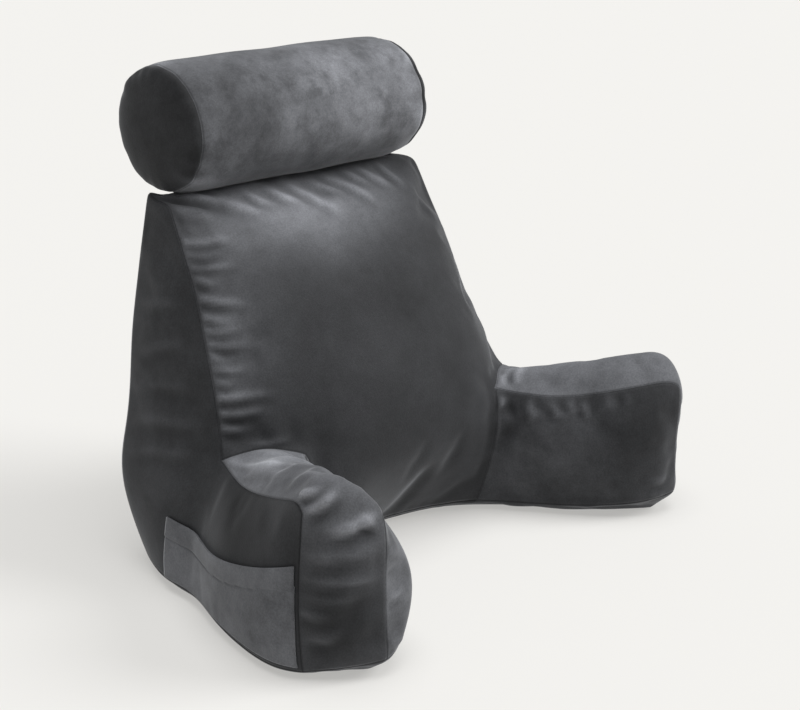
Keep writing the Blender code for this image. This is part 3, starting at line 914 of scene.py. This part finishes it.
def roll_profile():
    """Rows of (x, radius) from the middle of one end to the middle of the other."""
    half = []
    for ring in range(ROLL_END_RINGS):
        angle = math.radians(90) * (ring / ROLL_END_RINGS)
        bulge = ROLL_END_BULGE * math.cos(angle) ** ROLL_END_FULLNESS
        half.append((ROLL_HALF_LENGTH + bulge, ROLL_SEAM_RADIUS * math.sin(angle)))
    for row in range(ROLL_WALL_ROWS // 2 + 1):
        inward = ROLL_HALF_LENGTH * (row / (ROLL_WALL_ROWS // 2))
        crown = 1 - math.exp(-inward / ROLL_SHOULDER)
        radius = ROLL_SEAM_RADIUS + (ROLL_RADIUS - ROLL_SEAM_RADIUS) * crown
        half.append((ROLL_HALF_LENGTH - inward, radius))
    return half + [(-x, radius) for x, radius in reversed(half[:-1])]


def roll_mesh():
    """The roll as rings of points, closed at the middle of each end."""
    mesh = bpy.data.meshes.new("roll_cover")
    shape = bmesh.new()
    rings = []
    for x, radius in roll_profile():
        count = 1 if radius == 0.0 else ROLL_SEGMENTS
        ring = []
        for number in range(count):
            angle = 2 * math.pi * number / ROLL_SEGMENTS
            place = ROLL_CENTRE + Vector((x, radius * math.sin(angle), radius * math.cos(angle)))
            ring.append(shape.verts.new(place))
        rings.append(ring)
    for first, second in zip(rings, rings[1:]):
        for number in range(ROLL_SEGMENTS):
            after = (number + 1) % ROLL_SEGMENTS
            corners = [first[number % len(first)], first[after % len(first)]]
            corners += [second[after % len(second)], second[number % len(second)]]
            shape.faces.new(list(dict.fromkeys(corners)))
    bmesh.ops.recalc_face_normals(shape, faces=shape.faces)
    shape.to_mesh(mesh)
    shape.free()
    return mesh


def mark_roll(mesh):
    """Marks the seams around the roll's ends, and which faces are on an end."""
    for edge in mesh.edges:
        spans = [mesh.vertices[number].co for number in edge.vertices]
        past = [abs(place.x - ROLL_CENTRE.x) - ROLL_HALF_LENGTH for place in spans]
        edge.use_seam = all(abs(length) < ROLL_SEAM_TOLERANCE for length in past)
    on_end = mesh.attributes.new("on_end", "BOOLEAN", "FACE")
    for face in mesh.polygons:
        on_end.data[face.index].value = abs(face.center.x - ROLL_CENTRE.x) > ROLL_HALF_LENGTH


def gathered(mesh):
    """Gives the roll its lumps, the gathers at its end seams and its ends' lean."""
    places, outward = places_of(mesh), normals_of(mesh)
    lumps = ROLL_LUMP * cloudy(places, ROLL_LUMP_SIZE, ROLL_LUMP_SEED)
    across, back, up = (places - np.array(ROLL_CENTRE)).T
    beyond = np.abs(across) > ROLL_HALF_LENGTH
    inward = np.where(beyond, ROLL_SEAM_RADIUS - np.hypot(back, up), ROLL_HALF_LENGTH - np.abs(across))
    angle = np.arctan2(back, up)
    ring = np.stack([np.sin(angle), np.cos(angle), np.sign(across)], 1)
    reach = np.where(beyond, ROLL_END_GATHER_REACH, ROLL_GATHER_REACH)
    gathers = ROLL_GATHER * cloudy(ring, ROLL_GATHER_SPACING, ROLL_GATHER_SEED) * np.exp(-inward / reach)
    whole = ease(inward, 0.0, ROLL_STITCHED_REACH)
    height = (lumps + gathers) * (ROLL_STITCHED_SHARE + (1 - ROLL_STITCHED_SHARE) * whole)
    places += outward * height[:, None]
    # Kept as the crest, which paint turns into a painted highlight on the gathers and painted shade between
    # them
    keep(mesh, "crest", "POINT", gathers)
    places[:, 0] -= ROLL_END_LEAN * (up / ROLL_RADIUS) * ease(np.abs(across), 0.0, ROLL_HALF_LENGTH)
    put_places(mesh, places)


def build_roll(material):
    mesh = roll_mesh()
    obj = new_piece("roll_cover", mesh, material)
    mark_roll(mesh)
    gathered(mesh)
    grooved(obj)
    on_end = values_of(mesh.attributes["on_end"].data, "value", len(mesh.polygons), bool)
    paint(mesh, ["roll_end" if end else "roll" for end in on_end])
    return obj


def outer_place(along, outward, up, side, sign):
    """A place beside the arm, from its level distance along the arm's outer side and out from it."""
    point = along * POCKET_ALONG + outward * OUTER_FACING + Vector((0.0, 0.0, up))
    ends = rows_of(ARM_COLUMNS, (ARM_ROWS[0], ARM_ROWS[-1]))
    root, tip = (POCKET_ALONG.dot(Vector((row["outer_x"], row["outer_y"], 0.0))) for row in ends)
    moved = splayed(point, side, min(max((along - root) / (tip - root), 0.0), 1.0))
    return Vector((sign * moved.x, moved.y, moved.z))


def pocket_place(across, upward, side, sign, cover):
    """The place on the pocket's inner face, at shares of its width and height."""
    top = POCKET_REAR_TOP_Z + (POCKET_FRONT_TOP_Z - POCKET_REAR_TOP_Z) * across
    top -= POCKET_SAG * math.sin(math.pi * across)
    up = POCKET_FOOT_Z + (top - POCKET_FOOT_Z) * upward
    along = POCKET_REAR + (POCKET_FRONT - POCKET_REAR) * across
    start = outer_place(along, POCKET_RAY_START, up, side, sign)
    inward = (outer_place(along, 0.0, up, side, sign) - start).normalized()
    reached = cover.ray_cast(start, inward)[0]
    raised = max(0.0, upward - POCKET_MOUTH_FROM) / (1 - POCKET_MOUTH_FROM)
    mouth = math.sin(math.pi * across) * raised
    out = POCKET_OFFSET + POCKET_MOUTH_OPEN * mouth**2
    out += POCKET_HEM_RISE * (1.0 if top - up < POCKET_HEM else 0.0)
    out -= POCKET_STITCH_DEPTH * math.exp(-(((top - up - POCKET_HEM) / POCKET_STITCH_WIDTH) ** 2))
    return reached - inward * out


def build_pocket(side, sign, cover, material):
    name = "pocket_" + side + "_cloth"
    mesh = bpy.data.meshes.new(name)
    patch = bmesh.new()
    bmesh.ops.create_grid(patch, x_segments=POCKET_COLUMNS, y_segments=POCKET_ROWS, size=0.5)
    for corner in patch.verts:
        corner.co = pocket_place(corner.co.x + 0.5, corner.co.y + 0.5, side, sign, cover)
    if sign > 0:
        bmesh.ops.reverse_faces(patch, faces=patch.faces)
    patch.to_mesh(mesh)
    patch.free()
    obj = new_piece(name, mesh, material)
    thick = obj.modifiers.new("cloth", "SOLIDIFY")
    thick.thickness = POCKET_THICKNESS
    thick.offset = 1.0
    applied(obj)
    paint(obj.data, ["pocket"] * len(obj.data.polygons))
    return obj


def node_of(material, kind, **inputs):
    node = material.node_tree.nodes.new(kind)
    for name, value in inputs.items():
        node.inputs[name.replace("_", " ")].default_value = value
    return node


def clouds(material, places, nap):
    """Noise whose lumps have the size that the row gives."""
    made = node_of(
        material, "ShaderNodeTexNoise", Scale=1 / nap["size"], Detail=nap["detail"],
        Roughness=NOISE_ROUGHNESS, Distortion=nap["distortion"],
    )
    material.node_tree.links.new(places, made.inputs["Vector"])
    return made.outputs["Fac"]


def math_of(material, operation, first, second):
    """One sum of two values, each a socket or a number."""
    node = material.node_tree.nodes.new("ShaderNodeMath")
    node.operation = operation
    for socket, value in zip(node.inputs, (first, second)):
        if isinstance(value, float):
            socket.default_value = value
        else:
            material.node_tree.links.new(value, socket)
    return node.outputs[0]


def spread(material, value, low, high, bottom, top):
    """The value moved from the range low..high to the range bottom..top, and held inside it."""
    node = node_of(material, "ShaderNodeMapRange", From_Min=low, From_Max=high, To_Min=bottom, To_Max=top)
    material.node_tree.links.new(value, node.inputs["Value"])
    return node.outputs["Result"]


def attribute_of(material, name):
    node = material.node_tree.nodes.new("ShaderNodeAttribute")
    node.attribute_name = name
    return node.outputs["Fac"]


def velvet(name):
    """Crushed velvet: a short pile that lies in cloudy patches, with a soft sheen and darker seams, and the
    painted light and shade that each mesh carries.
    """
    material = bpy.data.materials.new(name)
    material.use_nodes = True
    link = material.node_tree.links.new
    shader = material.node_tree.nodes["Principled BSDF"]
    places = material.node_tree.nodes.new("ShaderNodeTexCoord").outputs["Object"]
    naps = {kind: dict(zip(NAP_COLUMNS, row)) for kind, row in NAP.items()}
    fields = {kind: clouds(material, places, nap) for kind, nap in naps.items()}
    tones = {
        kind: spread(material, fields[kind], nap["low"], nap["high"], nap["darkest"], nap["lightest"])
        for kind, nap in naps.items()
    }
    crushing = math_of(material, "SUBTRACT", tones["mottling"], 1.0)
    crushing = math_of(material, "ADD", crushing, math_of(material, "SUBTRACT", tones["flecks"], 1.0))
    crushing = math_of(material, "MULTIPLY", crushing, attribute_of(material, "crushed"))
    shares = (
        math_of(material, "ADD", crushing, 1.0),
        tones["patches"],
        tones["pile"],
        spread(material, attribute_of(material, "from_seam"), 0.0, SEAM_GROOVE_WIDTH, *SEAM_TONES),
        attribute_of(material, "painted_light_and_shade"),
    )
    # The tone is partly painted light and shade, and the last of the shares above is painted light and shade
    # too
    light = attribute_of(material, "tone")
    for share in shares:
        light = math_of(material, "MULTIPLY", light, share)
    colour = node_of(material, "ShaderNodeVectorMath", Vector=VELVET_GREY)
    colour.operation = "SCALE"
    link(light, colour.inputs["Scale"])
    link(colour.outputs["Vector"], shader.inputs["Base Color"])
    shader.inputs["Roughness"].default_value = VELVET_ROUGHNESS
    shader.inputs["Specular IOR Level"].default_value = VELVET_SPECULAR
    shader.inputs["Sheen Weight"].default_value = SHEEN
    shader.inputs["Sheen Roughness"].default_value = SHEEN_ROUGHNESS
    shader.inputs["Sheen Tint"].default_value = SHEEN_TINT
    relief = node_of(material, "ShaderNodeBump", Strength=RELIEF_STRENGTH, Distance=RELIEF_DEPTH)
    link(math_of(material, "ADD", fields["pile"], fields["mottling"]), relief.inputs["Height"])
    link(relief.outputs["Normal"], shader.inputs["Normal"])
    return material


def paint(mesh, panels):
    """Keeps on the mesh each face's tone by its panel, partly how its pile lies and partly painted light and
    shade, the painted light and shade of soft patches, crests and hollows, and how near the seams are.
    """
    pile_and_painted_light = {row["panel"]: row for row in rows_of(PILE_AND_PAINTED_LIGHT_COLUMNS, PILE_AND_PAINTED_LIGHT)}
    # Each face's tone, partly how the pile lies and partly painted light and shade
    keep(mesh, "tone", "FACE", [pile_and_painted_light[panel]["tone"] for panel in panels])
    keep(mesh, "crushed", "FACE", [pile_and_painted_light[panel]["crushed"] for panel in panels])
    places = places_of(mesh)
    gain = np.ones(len(places))
    # Soft patches of painted light and shade: lighter where more light falls, darker where less does
    for row in rows_of(PAINTED_LIGHT_COLUMNS, PAINTED_LIGHT_PATCHES):
        away = np.linalg.norm(places - np.array(row["centre"]), axis=1)
        on_panel = vertices_of(mesh, np.array(panels) == row["panel"])
        gain += on_panel * row["gain"] * np.exp(-((away / row["reach"]) ** 2))
    # Painted highlight on the crests of folds, puckers and gathers, and painted shade in their hollows
    if "crest" in mesh.attributes:
        crest = values_of(mesh.attributes["crest"].data, "value", len(places), np.float32)
        share = np.tanh(crest / CREST_HEIGHT)
        gleam = CREST_GLEAM * np.abs(share) ** CREST_GLEAM_POWER
        gain *= 1 + np.where(share > 0, gleam, HOLLOW_SHADE * share)
    keep(mesh, "painted_light_and_shade", "POINT", gain)
    near = np.full(len(places), SEAM_STRIP)
    if seam_edges(mesh)[1].any():
        near = np.minimum(near, seam_distance(mesh, seam_tree(mesh)))
    keep(mesh, "from_seam", "POINT", near)


def add_light(row):
    data = bpy.data.lights.new(row["name"], "SUN")
    data.energy = row["strength"]
    data.angle = math.radians(row["softness_degrees"])
    obj = bpy.data.objects.new(row["name"], data)
    obj.location = row["towards"]
    obj.rotation_euler = Vector(row["towards"]).to_track_quat("Z", "Y").to_euler()
    bpy.context.scene.collection.objects.link(obj)


def build_stage():
    mesh = bpy.data.meshes.new("floor")
    plane = bmesh.new()
    bmesh.ops.create_grid(plane, x_segments=1, y_segments=1, size=FLOOR_HALF_SIZE)
    plane.to_mesh(mesh)
    plane.free()
    material = bpy.data.materials.new("pale_floor")
    material.use_nodes = True
    shader = material.node_tree.nodes["Principled BSDF"]
    shader.inputs["Base Color"].default_value = FLOOR_COLOUR
    shader.inputs["Roughness"].default_value = FLOOR_ROUGHNESS
    shader.inputs["Emission Color"].default_value = FLOOR_GLOW_COLOUR
    shader.inputs["Emission Strength"].default_value = FLOOR_GLOW
    mesh.materials.append(material)
    floor = bpy.data.objects.new("floor", mesh)
    floor.location = (0, 0, FLOOR_Z)
    bpy.context.scene.collection.objects.link(floor)
    world = bpy.data.worlds.new("studio")
    world.use_nodes = True
    world.node_tree.nodes["Background"].inputs["Color"].default_value = STUDIO_COLOUR
    world.node_tree.nodes["Background"].inputs["Strength"].default_value = STUDIO_BRIGHTNESS
    bpy.context.scene.world = world
    for row in rows_of(LIGHT_COLUMNS, LIGHTS):
        add_light(row)
    bpy.context.scene.view_settings.view_transform = "Standard"


def build_camera():
    data = bpy.data.cameras.new("camera")
    data.lens = CAMERA_LENS
    data.sensor_width = SENSOR_WIDTH
    camera = bpy.data.objects.new("camera", data)
    camera.location, turn = camera_view()
    camera.rotation_euler = turn.to_euler()
    bpy.context.scene.collection.objects.link(camera)
    bpy.context.scene.camera = camera


def main():
    build_camera()
    build_stage()
    pile = velvet("velvet_pile")
    body = build_body(pile)
    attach(body, "root")
    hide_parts("pillow_body")
    roll = build_roll(pile)
    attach(roll, "root")
    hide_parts("neck_roll")
    cover = BVHTree.FromObject(body, bpy.context.evaluated_depsgraph_get())
    for side, sign in SIGNS.items():
        pocket = build_pocket(side, sign, cover, pile)
        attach(pocket, "root")
        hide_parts("pocket_" + side)


main()
